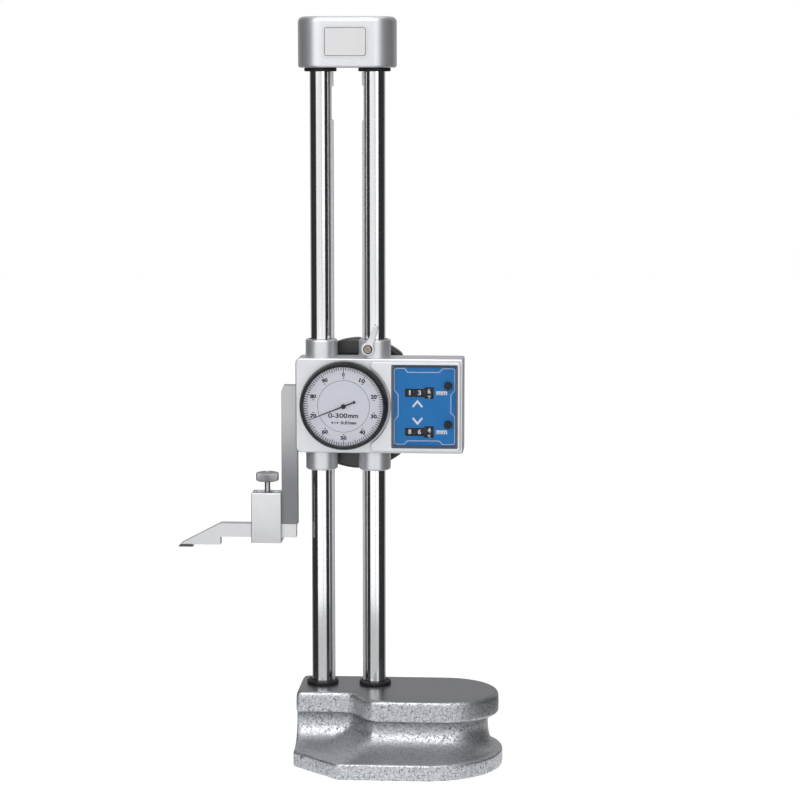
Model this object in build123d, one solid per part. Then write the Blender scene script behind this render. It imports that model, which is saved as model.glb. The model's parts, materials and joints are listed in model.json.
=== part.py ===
from build123d import *
import os
from math import cos, pi, sin, sqrt

os.makedirs("parts", exist_ok=True)

# Twin-column dial height gauge, millimetres.
# X to the right, Y to the back, Z up. The origin lies on the ground underside of the base,
# midway between the columns.

# Reading and travel
measuring_range = 300.0
rest_reading = 136.69          # height of the scriber's tip above the underside at rest
lower_clearance = 5.51         # lower bosses above the lower bumpers at reading 0
upper_clearance = 10.0         # upper bumpers above the upper bosses at full range; clears the lock lever

# Columns, strips and bumpers
column_spacing = 35.0
column_radius = 7.0
column_seat_depth = 26.0       # in the base
column_cap_depth = 22.0        # in the cap
column_chamfer = 0.8
strip_width = 4.0
strip_depth = 2.75
strip_proud = 1.25             # what stands out of the column
strip_gap = 0.2                # strip ends to bumpers
strip_notch_length = 20.0
strip_notch_below_top = 10.0
bumper_radius = 10.5
bumper_height = 2.4
bumper_round = 0.8

# Base casting
base_height = 45.0
base_left = -33.0
foot_height = 10.5
foot_back = 24.0
foot_front = -75.0
foot_straight_end = 53.5
foot_corner = (-2.0, -45.0)    # X where the front bevel ends, Y where it starts
foot_corner_round = 5.0
foot_corner_inset_share = 0.4
flange_thickness = 14.0
flange_back = 22.0
flange_front = -48.0
flange_straight_end = 65.0
flange_step_front = -26.0
flange_step = (-1.0, 22.0)     # X where the front steps out
neck_inset = 7.0
flare_height = 14.0
flare_inset = 4.0
flare_steps = (0.0, 0.28, 0.54, 0.76, 0.92, 1.0)
flare_sink = 0.4               # the flare's start below the foot's top
neck_overlap = 2.0             # neck inside the flange
flange_round = 2.0
left_corner_round = 3.0
pocket_depth = 3.0
pocket_rim = 9.0
pocket_land = 10.0             # width of the land under the origin
bolt_shank_radius = 3.0
bolt_head_radius = 5.0
bolt_head_height = 5.0
bolt_head_round = 0.4
bolt_head_gap = 0.5
bolt_engagement = 12.0
bolt_end_gap = 2.0
bolt_socket_across = 4.0
bolt_socket_depth = 2.5

# Cap
cap_length = 63.8
cap_width = 34.0
cap_height = 32.5
cap_round = 3.5
cap_lower_round = 1.5
label_length = 29.0
label_height = 20.5
label_thickness = 0.5
label_round = 2.0
label_rim = 0.8
label_recess = 0.2
grub_radius = 2.0
grub_length = 6.0
grub_drop = 12.0               # below the cap's top
grub_socket_radius = 1.0
grub_socket_depth = 2.5

# Slider housing, heights from the dial's centre
body_left = -33.5
body_right = 76.0
body_front = -13.0
body_back = 10.5
body_top = 30.5
body_bottom = -31.5
body_left_round = 3.5
body_right_round = 1.5
body_edge_round = 1.0
boss_radius = 10.5
boss_top = 42.2
boss_bottom = -43.9
boss_round = 1.5
bush_radius = 8.2
bush_length = 14.0
running_gap = 0.05
strip_clearance = 0.35
core_half_width = 9.6
core_half_height = 25.0
core_back_wall = 2.5

# Dial
dial_x = -1.5
bezel_bore = 26.0
bezel_ledge = 0.5
bezel_seat = bezel_bore + bezel_ledge
bezel_wall = 2.7
bezel_radius = bezel_seat + bezel_wall     # at the back; the knurled side tapers to the front
bezel_draft = 0.9
bezel_front_radius = bezel_radius - bezel_draft
bezel_front = -24.0
bezel_back = -15.2
bezel_chamfer = 0.6
face_thickness = 0.8
face_hole_radius = 1.2
face_back = -18.4
glass_thickness = 1.2
glass_front = -22.8
case_flange_lap = 1.0
case_flange_radius = bezel_bore + case_flange_lap
case_flange_front = -15.0
bezel_play = 0.8
case_collar_radius = bezel_bore - bezel_play
case_collar_wall = 1.8
case_collar_front = -18.0
case_screw_circle = 19.0
case_screw_angles = (90, 210, 330)
case_screw_head_radius = 1.9
case_screw_head_height = 1.4
case_screw_slot = 0.5
case_screw_shank_radius = 1.0
case_screw_shank_length = 5.0
pointer_length = 23.5
pointer_tail = 7.5
pointer_hub_radius = 1.6
pointer_thickness = 0.4
pointer_back = -20.2
pointer_root_width = 0.9
pointer_tip_width = 0.3
counterweight_radius = 0.9
pointer_shaft_radius = 0.6
pointer_shaft_back = -9.5
pointer_shaft_hole_radius = 3.2
dial_pitch = 1.0               # travel for one turn of the pointer

# Rack and feed
rack_pitch = 1.0
tooth_addendum = 0.28
tooth_dedendum = 0.36
tooth_share = 0.40             # tooth thickness at the pitch line, in pitches
tooth_tip_share = 0.16
gear_tip_share = 0.85          # gear tooth height above the pitch circle, in rack addenda
feed_teeth = 25
feed_drop = 3.0                # feed shaft below the dial's centre
pinion_width = 4.4
feed_shaft_radius = 2.0
feed_washer_radius = 3.6
feed_washer_thickness = 1.2

# Rear cover and hand wheel
rear_cover_half_width = 32.0
rear_cover_half_height = 21.0
rear_cover_thickness = 2.5
rear_cover_round = 4.0
rear_cover_edge_round = 1.0
rear_boss_radius = 7.0
rear_boss_height = 3.0
rear_screw_inset = 3.4
rear_screw_radius = 1.25
rear_screw_head_radius = 2.3
rear_screw_head_height = 1.5
rear_screw_head_round = 0.7
rear_screw_depth = 4.0
wheel_radius = 43.6
wheel_lobes = 9
wheel_gap = 0.5
wheel_thickness = 12.0
wheel_hub_radius = 9.0
wheel_hub_proud = 2.0
wheel_scallop_radius = 12.0
wheel_scallop_depth = 2.8
wheel_lobe_round = 4.0
wheel_edge_round = 2.0
wheel_dish_radius = 27.0
wheel_dish_depth = 3.5
wheel_phase = 20.0
wheel_bolt_radius = 3.6
wheel_bolt_height = 2.0

# Raised front cover, plate, window and counters
cover_left = 15.8
cover_right = 74.2
cover_top = 28.6
cover_bottom = -29.8
cover_front = -16.0
cover_dial_gap = 1.1
cover_dial_gap_radius = bezel_radius + cover_dial_gap
cover_round = 2.0
cover_tip_round = 3.0
cover_edge_round = 0.5
window_left = 29.3
window_right = 72.6
window_top = 27.0
window_bottom = -27.7
window_round = 1.0
window_front = -15.5
window_fit = 0.1
plate_thickness = 0.8
pocket_inset = 2.0             # housing pocket inside the plate's edge
pocket_back = 6.5
counter_heights = {"up": 8.5, "down": -17.1}
counter_middle_x = 47.5
counter_pitch = 6.3
counter_axis_y = -5.2
counter_wheel_radius = 7.5
counter_wheel_width = 6.2
counter_shaft_radius = 1.5
slot_height = 5.4              # over all three wheels
units_slot_height = 7.6
frame_wall = 1.5
frame_gap = 1.2
frame_front_gap = 1.0
button_x = 66.2
button_heights = {"up": 13.4, "down": -12.0}
button_radius = 2.5
button_front = -17.4
button_round = 0.5
button_travel = 1.5
button_fit = 0.1
button_collar_radius = 2.9
button_collar_thickness = 1.0
button_collar_gap = 0.1
button_stem_radius = 1.2
button_stem_end = -5.0
button_guide_front = -8.4
button_guide_thickness = 1.5

# Lock lever on the right upper boss
lever_x = 13.9
lever_height = 36.5            # above the dial's centre
lever_pad_radius = 4.5
lever_pad_front = -10.6
lever_thickness = 2.4
lever_gap = 0.1
lever_hub_radius = 4.2
lever_root_half = 2.6
lever_length = 16.3
lever_lean = 20.6              # degrees from upright, to the right
lever_tip_radius = 1.6
lock_screw_radius = 2.6
lock_screw_head_height = 1.0
lock_screw_bevel = 0.3
lock_screw_slot = 0.8
lock_screw_slot_turn = 35.0
lock_screw_shank_radius = 1.8
lock_screw_gap = 0.2           # released screw to the column

# Measuring arm, clamp and scriber
arm_width = 10.5
arm_depth = 8.0
arm_top = 11.5                 # above the dial's centre
arm_top_bevel = 4.0
arm_top_bevel_width = 1.6
arm_screw_heights = (-2.0, -22.0)
arm_screw_head_radius = 3.4
arm_screw_head_height = 2.0
arm_screw_socket_radius = 1.5
arm_screw_socket_depth = 1.4
arm_screw_radius = 2.0
arm_screw_length = 17.0
scriber_height = 9.0
scriber_depth = 8.0
scriber_above_tip = 7.0        # underside of the bar above the tip
scriber_right = -34.5
scriber_step_x = -85.0
scriber_tip_x = -113.3
nose_drop = 5.4
tip_length = 9.9
tip_thickness = 2.0
tip_slant = 1.6
clamp_left = -64.0
clamp_width = 20.0
clamp_wall = 3.4
clamp_top_wall = 3.6
clamp_fit = 0.1
clamp_height = 33.6
clamp_bevel = 0.4
clamp_recess = (14.0, 8.0, 1.2)
foot_of_arm_height = 13.4
foot_of_arm_end = 1.5          # short of the clamp's left side
thumb_x = -53.8
thumb_head_radius = 7.5
thumb_head_height = 5.7
thumb_head_bevel = 0.7
thumb_shank_radius = 1.9
thumb_shank_visible = 7.2
thumb_tip_gap = 0.3            # released screw to the arm's foot

# Drawing
cut_margin = 1.0               # how far a cutting tool runs past a face
select_margin = 0.01           # for finding vertices that lie on a line

# Levels and places that follow
neck_top = base_height - flange_thickness
bumper_top = base_height + bumper_height
dial_z = rest_reading + bumper_top + lower_clearance - boss_bottom
cap_bottom = dial_z + measuring_range - rest_reading + boss_top + upper_clearance + bumper_height
cap_top = cap_bottom + cap_height
strip_bottom = bumper_top + strip_gap
strip_top = cap_bottom - bumper_height - strip_gap
column_x = column_spacing / 2
strip_face = column_x - column_radius - strip_proud
strip_floor = strip_face + strip_depth
pitch_line = strip_face + tooth_addendum
feed_radius = feed_teeth * rack_pitch / (2 * pi)
feed_x = pitch_line - feed_radius
feed_z = dial_z - feed_drop
tip_z = rest_reading
scriber_bottom = tip_z + scriber_above_tip
scriber_top = scriber_bottom + scriber_height


def box(x0, x1, y0, y1, z0, z1):
    return Pos((x0 + x1) / 2, (y0 + y1) / 2, (z0 + z1) / 2) * Box(abs(x1 - x0), abs(y1 - y0), abs(z1 - z0))


def rodX(x0, x1, y, z, radius):
    return Pos((x0 + x1) / 2, y, z) * Rot(0, 90, 0) * Cylinder(radius, abs(x1 - x0))


def rodY(x, y0, y1, z, radius):
    return Pos(x, (y0 + y1) / 2, z) * Rot(90, 0, 0) * Cylinder(radius, abs(y1 - y0))


def rodZ(x, y, z0, z1, radius):
    return Pos(x, y, (z0 + z1) / 2) * Cylinder(radius, abs(z1 - z0))


# A flat shape drawn in X and Z, thickened from y0 to y1
def slabXZ(sketch, y0, y1):
    return Pos(0, y1, 0) * extrude(Plane.XZ * sketch, y1 - y0)


# A flat shape drawn in Y and Z, thickened from x0 to x1
def slabYZ(sketch, x0, x1):
    return Pos(x0, 0, 0) * extrude(Plane.YZ * sketch, x1 - x0)


def rectangle(x0, x1, z0, z1, corner=0.0):
    shape = Rectangle(x1 - x0, z1 - z0)
    if corner > 0:
        shape = fillet(shape.vertices(), corner)
    return Pos((x0 + x1) / 2, (z0 + z1) / 2) * shape


def save(name, *pieces):
    shape = pieces[0] if len(pieces) == 1 else Compound(list(pieces))
    export_step(shape, f"parts/{name}.step")


def mix(a, b, share):
    return a + (b - a) * share


# ---------------------------------------------------------------- base

# The step-shaped outline that the flange and the neck under it share
def steppedOutline(front, back, straightEnd, stepFront, stepStart, stepEnd):
    half = (back - front) / 2
    middle = (back + front) / 2
    stepMiddle = (stepStart + stepEnd) / 2
    edges = [
        Line((base_left, back), (straightEnd, back)),
        ThreePointArc((straightEnd, back), (straightEnd + half, middle), (straightEnd, front)),
        Line((straightEnd, front), (stepEnd, front)),
        Bezier((stepEnd, front), (stepMiddle, front), (stepMiddle, stepFront), (stepStart, stepFront)),
        Line((stepStart, stepFront), (base_left, stepFront)),
        Line((base_left, stepFront), (base_left, back)),
    ]
    return make_face(Curve() + edges)


def footOutline(inset=0.0):
    front = foot_front + inset
    back = foot_back - inset
    left = base_left + inset
    half = (back - front) / 2
    bevelStart = (left, foot_corner[1] + inset * foot_corner_inset_share)
    bevelEnd = (foot_corner[0] + inset * foot_corner_inset_share, front)
    edges = [
        Line((left, back), (foot_straight_end, back)),
        ThreePointArc((foot_straight_end, back), (foot_straight_end + half, (back + front) / 2),
                      (foot_straight_end, front)),
        Line((foot_straight_end, front), bevelEnd),
        Line(bevelEnd, bevelStart),
        Line(bevelStart, (left, back)),
    ]
    face = make_face(Curve() + edges)
    corners = [v for v in face.vertices() if v.X < foot_straight_end - select_margin and v.Y < 0]
    return fillet(corners, foot_corner_round)


def flaredNeck():
    sections = []
    for inward in flare_steps:
        z = foot_height - flare_sink + (flare_height + flare_sink) * (1 - sqrt(1 - inward ** 2))
        outward = 1 - inward
        sections.append(Pos(0, 0, z) * steppedOutline(
            mix(flange_front + neck_inset, foot_front + flare_inset, outward),
            mix(flange_back - neck_inset, foot_back - flare_inset, outward),
            mix(flange_straight_end, foot_straight_end, outward),
            mix(flange_step_front + neck_inset, foot_corner[1] + flare_inset, outward),
            mix(flange_step[0], base_left + flare_inset, outward),
            mix(flange_step[1], foot_corner[0] + flare_inset, outward)))
    lower = loft(sections)
    upper = extrude(sections[-1], neck_top + neck_overlap - foot_height - flare_height)
    return lower + upper


def baseCasting():
    flangeFace = steppedOutline(flange_front, flange_back, flange_straight_end,
                                flange_step_front, flange_step[0], flange_step[1])
    leftCorners = [v for v in flangeFace.vertices() if abs(v.X - base_left) < select_margin]
    flangeFace = fillet(leftCorners, left_corner_round)
    flange = extrude(Pos(0, 0, neck_top) * flangeFace, flange_thickness)
    flange = fillet(flange.faces().sort_by(Axis.Z)[-1].edges(), flange_round)
    foot = extrude(footOutline(), foot_height)
    casting = foot + flaredNeck() + flange

    pocket = extrude(footOutline(pocket_rim), pocket_depth)
    land = box(-pocket_land / 2, pocket_land / 2, foot_front, foot_back, 0, pocket_depth)
    casting -= pocket - land
    seatZ = base_height - column_seat_depth
    for side in (-1, 1):
        x = side * column_x
        casting -= rodZ(x, 0, seatZ, base_height, column_radius)
        casting -= rodZ(x, 0, 0, seatZ, bolt_shank_radius)
        casting -= rodZ(x, 0, 0, boltHeadTop(), bolt_head_radius + bolt_head_gap)
    return casting


# Underside of the column bolts' heads: the counterbore's floor
def boltHeadTop():
    return pocket_depth + bolt_head_height + bolt_head_gap


def columnBolt(x):
    top = boltHeadTop()
    shank = rodZ(x, 0, top, base_height - column_seat_depth + bolt_engagement, bolt_shank_radius)
    head = rodZ(x, 0, top - bolt_head_height, top, bolt_head_radius)
    head = fillet(head.edges().sort_by(Axis.Z)[0], bolt_head_round)
    hexagon = RegularPolygon(bolt_socket_across / 2, 6, major_radius=False)
    socket = extrude(Pos(x, 0, top - bolt_head_height) * hexagon, bolt_socket_depth)
    return shank + head - socket


def column(side):
    bottom = base_height - column_seat_depth
    top = cap_bottom + column_cap_depth
    x = side * column_x
    rod = rodZ(x, 0, bottom, top, column_radius)
    rod = chamfer(rod.edges().filter_by(GeomType.CIRCLE), column_chamfer)
    groove = box(side * strip_face, side * strip_floor, -strip_width / 2, strip_width / 2,
                 strip_bottom, strip_top)
    bolt = rodZ(x, 0, bottom, bottom + bolt_engagement + bolt_end_gap, bolt_shank_radius)
    return rod - groove - bolt


# Toothed edge of the rack from z0 to z1, as points going up; a space centres on the feed shaft
def rackTeeth(z0, z1):
    points = []
    first = int((z0 - feed_z) / rack_pitch) - 1
    last = int((z1 - feed_z) / rack_pitch) + 1
    root = pitch_line + tooth_dedendum
    tipHalf = tooth_tip_share * rack_pitch / 2
    for k in range(first, last + 1):
        middle = feed_z + (k + 0.5) * rack_pitch
        if middle - rack_pitch / 2 > z0 and middle + rack_pitch / 2 < z1:
            points += [(root, middle - rack_pitch / 2), (strip_face, middle - tipHalf),
                       (strip_face, middle + tipHalf)]
            end = (root, middle + rack_pitch / 2)
    return points + [end]


# The strip's outline in X and Z, with a notch cut back to the column near its top
def strip(side, toothed):
    notchTop = strip_top - strip_notch_below_top
    notchBottom = notchTop - strip_notch_length
    columnFace = strip_face + strip_proud
    faceRuns = [(strip_bottom, notchBottom - strip_proud), (notchTop + strip_proud, strip_top)]
    points = [(strip_floor, strip_bottom)]
    for low, high in faceRuns:
        if toothed:
            points += [(pitch_line + tooth_dedendum, low)]
            points += rackTeeth(low, high)
            points += [(pitch_line + tooth_dedendum, high)]
        else:
            points += [(strip_face, low), (strip_face, high)]
        if high < strip_top:
            points += [(columnFace, notchBottom), (columnFace, notchTop)]
    points += [(strip_floor, strip_top)]
    face = make_face(Polyline([(side * x, z) for x, z in points], close=True))
    return slabXZ(face, -strip_width / 2, strip_width / 2)


def bumper(side, z0):
    x = side * column_x
    ring = rodZ(x, 0, z0, z0 + bumper_height, bumper_radius)
    ring = fillet(ring.edges().filter_by(GeomType.CIRCLE), bumper_round)
    return ring - rodZ(x, 0, z0, z0 + bumper_height, column_radius)


# ---------------------------------------------------------------- cap

def capOutline():
    return SlotOverall(cap_length, cap_width)


def topCap():
    cap = extrude(Pos(0, 0, cap_bottom) * capOutline(), cap_height)
    cap = fillet(cap.faces().sort_by(Axis.Z)[-1].edges(), cap_round)
    cap = fillet(cap.faces().sort_by(Axis.Z)[0].edges(), cap_lower_round)
    for side in (-1, 1):
        x = side * column_x
        cap -= rodZ(x, 0, cap_bottom, cap_bottom + column_cap_depth, column_radius)
        cap -= rodY(x, column_radius, cap_width / 2 + cut_margin, cap_top - grub_drop, grub_radius)
    return cap


def capLabel():
    z = cap_bottom + cap_height / 2
    front = -cap_width / 2
    outline = rectangle(-label_length / 2, label_length / 2, z - label_height / 2, z + label_height / 2, label_round)
    inner = rectangle(-label_length / 2 + label_rim, label_length / 2 - label_rim,
                      z - label_height / 2 + label_rim, z + label_height / 2 - label_rim, label_round - label_rim)
    plate = slabXZ(outline, front - label_thickness, front)
    return plate - slabXZ(inner, front - label_thickness, front - label_thickness + label_recess)


def capScrew(side):
    x = side * column_x
    z = cap_top - grub_drop
    screw = rodY(x, column_radius, column_radius + grub_length, z, grub_radius)
    socket = extrude(Plane.XZ.offset(-(column_radius + grub_length)) * Pos(x, z) * RegularPolygon(grub_socket_radius, 6),
                     grub_socket_depth)
    return screw - socket


# ---------------------------------------------------------------- slider

def columnBore(side, radius, z0, z1):
    x = side * column_x
    reach = column_x - strip_face + strip_clearance
    slotX = sorted((x, x - side * reach))
    half = strip_width / 2 + strip_clearance
    return rodZ(x, 0, z0, z1, radius) + box(slotX[0], slotX[1], -half, half, z0, z1)


def sliderBody():
    block = box(body_left, body_right, body_front, body_back, dial_z + body_bottom, dial_z + body_top)
    cornerEdges = block.edges().filter_by(Axis.Y)
    block = fillet(cornerEdges.filter_by_position(Axis.X, body_left - cut_margin, body_left + cut_margin),
                   body_left_round)
    cornerEdges = block.edges().filter_by(Axis.Y)
    block = fillet(cornerEdges.filter_by_position(Axis.X, body_right - cut_margin, body_right + cut_margin),
                   body_right_round)
    block = fillet(block.faces().sort_by(Axis.Y)[0].edges(), body_edge_round)
    block = fillet(block.faces().sort_by(Axis.Y)[-1].edges(), body_edge_round)
    for side in (-1, 1):
        boss = rodZ(side * column_x, 0, dial_z + boss_bottom, dial_z + boss_top, boss_radius)
        block += fillet(boss.edges().filter_by(GeomType.CIRCLE), boss_round)
    block += rodY(lever_x, lever_pad_front, -column_radius, dial_z + lever_height, lever_pad_radius)
    for side in (-1, 1):
        block -= columnBore(side, bush_radius, dial_z + boss_bottom, dial_z + boss_top)
    # core between the columns, open at the back under the rear cover
    block -= box(-core_half_width, core_half_width, body_front + core_back_wall, body_back,
                 dial_z - core_half_height, dial_z + core_half_height)
    block -= rodY(dial_x, body_front, body_front + core_back_wall, dial_z, pointer_shaft_hole_radius)
    # pocket for the counters, behind the plate
    block -= box(window_left + pocket_inset, window_right - pocket_inset, body_front, pocket_back,
                 dial_z + window_bottom + pocket_inset, dial_z + window_top - pocket_inset)
    for x, z in caseScrewPlaces():
        block -= rodY(x, case_flange_front, case_flange_front + case_screw_shank_length, z, case_screw_shank_radius)
    for x, z in rearScrewPlaces():
        block -= rodY(x, body_back - rear_screw_depth, body_back, z, rear_screw_radius)
    for height in arm_screw_heights:
        block -= rodX(body_left, body_left + arm_screw_length - arm_width, 0, dial_z + height, arm_screw_radius)
    return block - lockHole()


def columnBush(side, z0):
    ring = rodZ(side * column_x, 0, z0, z0 + bush_length, bush_radius)
    return ring - columnBore(side, column_radius + running_gap, z0, z0 + bush_length)


# The lock screw reaches the column through the upper right bush
def lockHole():
    return rodY(lever_x, lever_pad_front, 0, dial_z + lever_height, lock_screw_shank_radius + running_gap)


def columnBushes():
    low = dial_z + boss_bottom
    high = dial_z + boss_top - bush_length
    return [columnBush(side, z) - lockHole() for side in (-1, 1) for z in (low, high)]


# ---------------------------------------------------------------- dial

def ringY(outer, inner, y0, y1):
    return rodY(dial_x, y0, y1, dial_z, outer) - rodY(dial_x, y0, y1, dial_z, inner)


def caseScrewPlaces():
    return [(dial_x + case_screw_circle * cos(a * pi / 180), dial_z + case_screw_circle * sin(a * pi / 180))
            for a in case_screw_angles]


def dialCase():
    flange = rodY(dial_x, case_flange_front, body_front, dial_z, case_flange_radius)
    collar = ringY(case_collar_radius, case_collar_radius - case_collar_wall, case_collar_front, case_flange_front)
    case = flange + collar - rodY(dial_x, case_flange_front, body_front, dial_z, pointer_shaft_radius + running_gap)
    for x, z in caseScrewPlaces():
        case -= rodY(x, case_flange_front, body_front, z, case_screw_shank_radius)
    return case


def caseScrew(x, z):
    head = rodY(x, case_flange_front - case_screw_head_height, case_flange_front, z, case_screw_head_radius)
    slot = box(x - case_screw_head_radius, x + case_screw_head_radius,
               case_flange_front - case_screw_head_height, case_flange_front - case_screw_head_height / 2,
               z - case_screw_slot / 2, z + case_screw_slot / 2)
    shank = rodY(x, case_flange_front, case_flange_front + case_screw_shank_length, z, case_screw_shank_radius)
    return head - slot + shank


def bezel():
    ring = Pos(dial_x, (bezel_front + bezel_back) / 2, dial_z) * Rot(90, 0, 0) * Cone(
        bezel_radius, bezel_front_radius, bezel_back - bezel_front)
    ring = chamfer(ring.edges().filter_by(GeomType.CIRCLE), bezel_chamfer)
    ring -= rodY(dial_x, bezel_front, bezel_back, dial_z, bezel_bore)
    return ring - rodY(dial_x, glass_front, face_back, dial_z, bezel_seat)


def dialFace():
    front = face_back - face_thickness
    return (rodY(dial_x, front, face_back, dial_z, bezel_seat)
            - rodY(dial_x, front, face_back, dial_z, face_hole_radius))


def retainingRing():
    return ringY(bezel_seat, bezel_bore, glass_front + glass_thickness, face_back - face_thickness)


def dialGlass():
    return rodY(dial_x, glass_front, glass_front + glass_thickness, dial_z, bezel_seat)


def pointer():
    # drawn pointing up, then turned clockwise to the hundredths of the reading
    turn = (rest_reading / dial_pitch) % 1 * 360
    front = pointer_back - pointer_thickness
    blade = make_face(Polyline([(-pointer_root_width / 2, 0), (-pointer_tip_width / 2, pointer_length),
                                (pointer_tip_width / 2, pointer_length), (pointer_root_width / 2, 0)], close=True))
    tail = Pos(0, -pointer_tail / 2) * Rectangle(pointer_root_width, pointer_tail)
    sketch = blade + tail + Pos(0, -pointer_tail) * Circle(counterweight_radius)
    hand = slabXZ(Pos(dial_x, dial_z) * Rot(0, 0, -turn) * sketch, front, pointer_back)
    hub = rodY(dial_x, front - pointer_thickness, pointer_back, dial_z, pointer_hub_radius)
    return hand + hub


def pointerShaft():
    return rodY(dial_x, pointer_back, pointer_shaft_back, dial_z, pointer_shaft_radius)


# ---------------------------------------------------------------- feed

# Outline of a spur gear about its own centre; the first tooth points along +X
def gearOutline(teeth, radius, shift=0.0):
    points = []
    step = 2 * pi / teeth
    pitch = radius * step
    tip = radius + tooth_addendum * gear_tip_share
    root = radius - tooth_dedendum
    rootShare = 1 - (1 - tooth_share) * tooth_dedendum / (tooth_addendum + tooth_dedendum)
    for k in range(teeth):
        middle = (k + shift) * step
        for r, share in ((root, -rootShare), (tip, -tooth_tip_share), (tip, tooth_tip_share), (root, rootShare)):
            angle = middle + share * pitch / (2 * radius)
            points.append((r * cos(angle), r * sin(angle)))
    return make_face(Polyline(points, close=True))


def feedShaft():
    pinion = slabXZ(Pos(feed_x, feed_z) * gearOutline(feed_teeth, feed_radius), -pinion_width / 2, pinion_width / 2)
    washerBack = body_back - running_gap
    shaft = rodY(feed_x, 0, wheelBack() + wheel_bolt_height, feed_z, feed_shaft_radius)
    washer = rodY(feed_x, washerBack - feed_washer_thickness, washerBack, feed_z, feed_washer_radius)
    return pinion + shaft + washer


def rearScrewPlaces():
    x = rear_cover_half_width - rear_screw_inset
    z = rear_cover_half_height - rear_screw_inset
    return [(sx * x, feed_z + sz * z) for sx in (-1, 1) for sz in (-1, 1)]


def rearCover():
    plate = rectangle(-rear_cover_half_width, rear_cover_half_width, feed_z - rear_cover_half_height,
                      feed_z + rear_cover_half_height, rear_cover_round)
    back = body_back + rear_cover_thickness
    cover = slabXZ(plate, body_back, back)
    cover = fillet(cover.faces().sort_by(Axis.Y)[-1].edges(), rear_cover_edge_round)
    cover += rodY(feed_x, back, back + rear_boss_height, feed_z, rear_boss_radius)
    cover -= rodY(feed_x, body_back, back + rear_boss_height, feed_z, feed_shaft_radius + running_gap)
    for x, z in rearScrewPlaces():
        cover -= rodY(x, body_back, back, z, rear_screw_radius)
    return cover


def rearScrew(x, z):
    back = body_back + rear_cover_thickness
    head = rodY(x, back, back + rear_screw_head_height, z, rear_screw_head_radius)
    head = fillet(head.edges().sort_by(Axis.Y)[-1], rear_screw_head_round)
    shank = rodY(x, body_back - rear_screw_depth, back, z, rear_screw_radius)
    return head + shank


def wheelFront():
    return body_back + rear_cover_thickness + rear_boss_height + wheel_gap


def wheelBack():
    return wheelFront() + wheel_hub_proud + wheel_thickness


def handWheel():
    rim = Circle(wheel_radius)
    circle = wheel_radius + wheel_scallop_radius - wheel_scallop_depth
    for k in range(wheel_lobes):
        angle = (wheel_phase + (k + 0.5) * 360 / wheel_lobes) * pi / 180
        rim -= Pos(circle * cos(angle), circle * sin(angle)) * Circle(wheel_scallop_radius)
    rim = fillet(rim.vertices(), wheel_lobe_round)
    front = wheelFront() + wheel_hub_proud
    wheel = slabXZ(Pos(feed_x, feed_z) * rim, front, wheelBack())
    wheel = fillet(wheel.faces().sort_by(Axis.Y)[0].edges(), wheel_edge_round)
    wheel = fillet(wheel.faces().sort_by(Axis.Y)[-1].edges(), wheel_edge_round)
    wheel -= (rodY(feed_x, front, front + wheel_dish_depth, feed_z, wheel_dish_radius)
              - rodY(feed_x, front, front + wheel_dish_depth, feed_z, wheel_hub_radius))
    wheel -= (rodY(feed_x, wheelBack() - wheel_dish_depth, wheelBack(), feed_z, wheel_dish_radius)
              - rodY(feed_x, wheelBack() - wheel_dish_depth, wheelBack(), feed_z, wheel_hub_radius))
    wheel += rodY(feed_x, wheelFront(), front, feed_z, wheel_hub_radius)
    return wheel - rodY(feed_x, wheelFront(), wheelBack(), feed_z, feed_shaft_radius)


def wheelNut():
    nut = slabXZ(Pos(feed_x, feed_z) * RegularPolygon(wheel_bolt_radius, 6), wheelBack(),
                 wheelBack() + wheel_bolt_height)
    return nut - rodY(feed_x, wheelBack(), wheelBack() + wheel_bolt_height, feed_z, feed_shaft_radius)


# ---------------------------------------------------------------- cover and counters

def frontCover():
    outline = rectangle(cover_left, cover_right, dial_z + cover_bottom, dial_z + cover_top, cover_round)
    outline -= Pos(dial_x, dial_z) * Circle(cover_dial_gap_radius)
    meets = [v for v in outline.vertices() if abs(v.X - cover_left) < select_margin
             and abs(v.Y - dial_z) < cover_dial_gap_radius]
    outline = fillet(meets, cover_tip_round)
    cover = slabXZ(outline, cover_front, body_front)
    cover = fillet(cover.faces().sort_by(Axis.Y)[0].edges(), cover_edge_round)
    window = rectangle(window_left, window_right, dial_z + window_bottom, dial_z + window_top, window_round)
    return cover - slabXZ(window, cover_front, body_front)


def plateOutline():
    return rectangle(window_left + window_fit, window_right - window_fit, dial_z + window_bottom + window_fit,
                     dial_z + window_top - window_fit, window_round)


def digitX(place):
    return counter_middle_x + (place - 1) * counter_pitch


def counterPlate():
    plate = slabXZ(plateOutline(), body_front - plate_thickness, body_front)
    right = digitX(2) + counter_pitch / 2
    for height in counter_heights.values():
        for first, tall in ((0, slot_height), (2, units_slot_height)):
            plate -= box(digitX(first) - counter_pitch / 2, right, body_front - plate_thickness, body_front,
                         dial_z + height - tall / 2, dial_z + height + tall / 2)
    for height in button_heights.values():
        plate -= rodY(button_x, body_front - plate_thickness, body_front, dial_z + height, button_radius + button_fit)
    return plate


def counterWindow():
    pane = slabXZ(plateOutline(), window_front, body_front - plate_thickness)
    for height in button_heights.values():
        pane -= rodY(button_x, window_front, body_front, dial_z + height, button_radius + button_fit)
    return pane


def counterWheel(name, place):
    x = digitX(place)
    z = dial_z + counter_heights[name]
    half = counter_wheel_width / 2
    wheel = rodX(x - half, x + half, counter_axis_y, z, counter_wheel_radius)
    return wheel - rodX(x - half, x + half, counter_axis_y, z, counter_shaft_radius + running_gap)


def frameEnds():
    half = counter_pitch * 1.5 + frame_gap
    return counter_middle_x - half, counter_middle_x + half


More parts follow.
